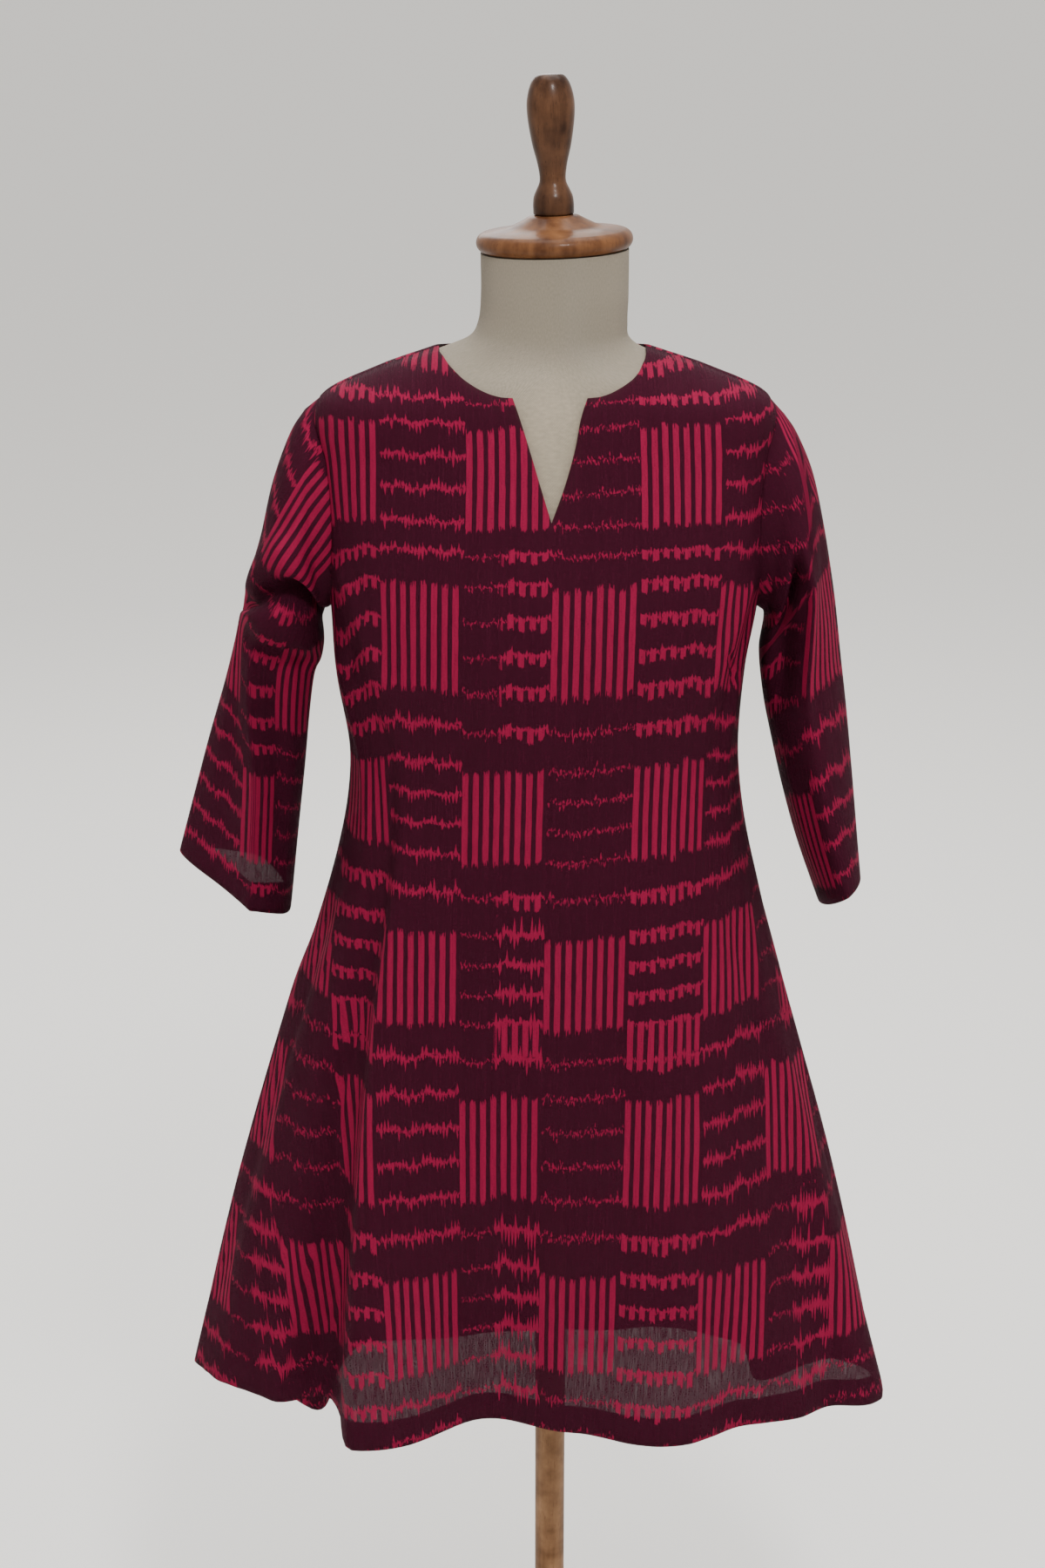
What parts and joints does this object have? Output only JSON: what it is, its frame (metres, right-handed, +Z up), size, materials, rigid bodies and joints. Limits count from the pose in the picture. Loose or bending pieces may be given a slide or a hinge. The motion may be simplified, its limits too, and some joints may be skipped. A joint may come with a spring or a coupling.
{
  "type": "tunic on a dress form",
  "caption": "A-line tunic with three-quarter sleeves and a round neck with a V slit, worn by a limbless dress form with a turned neck cap and finial on a pole stand.",
  "frame": {"origin": "on the floor under the centre of the pole, at the centre of the base's underside", "axes": "+Z up along the pole, the front of the tunic faces -Y, the wearer's left side is at +X"},
  "size_m": [0.6149, 0.36, 1.5569],
  "materials": {
    "ikat_cotton": "soft woven cotton, matte, with a crimson and dark maroon woven block pattern",
    "form_canvas": "tightly stretched ivory canvas, matte",
    "turned_walnut": "turned dark brown wood, polished",
    "pole_wood": "plain tan-brown wood, satin"
  },
  "bodies": {
    "root": {"tunic_front": "ikat_cotton", "tunic_back": "ikat_cotton", "sleeve_right": "ikat_cotton", "sleeve_left": "ikat_cotton", "form_torso": "form_canvas", "neck_cap": "turned_walnut", "finial": "turned_walnut", "pole": "pole_wood", "base": "pole_wood"}
  },
  "joints": []
}
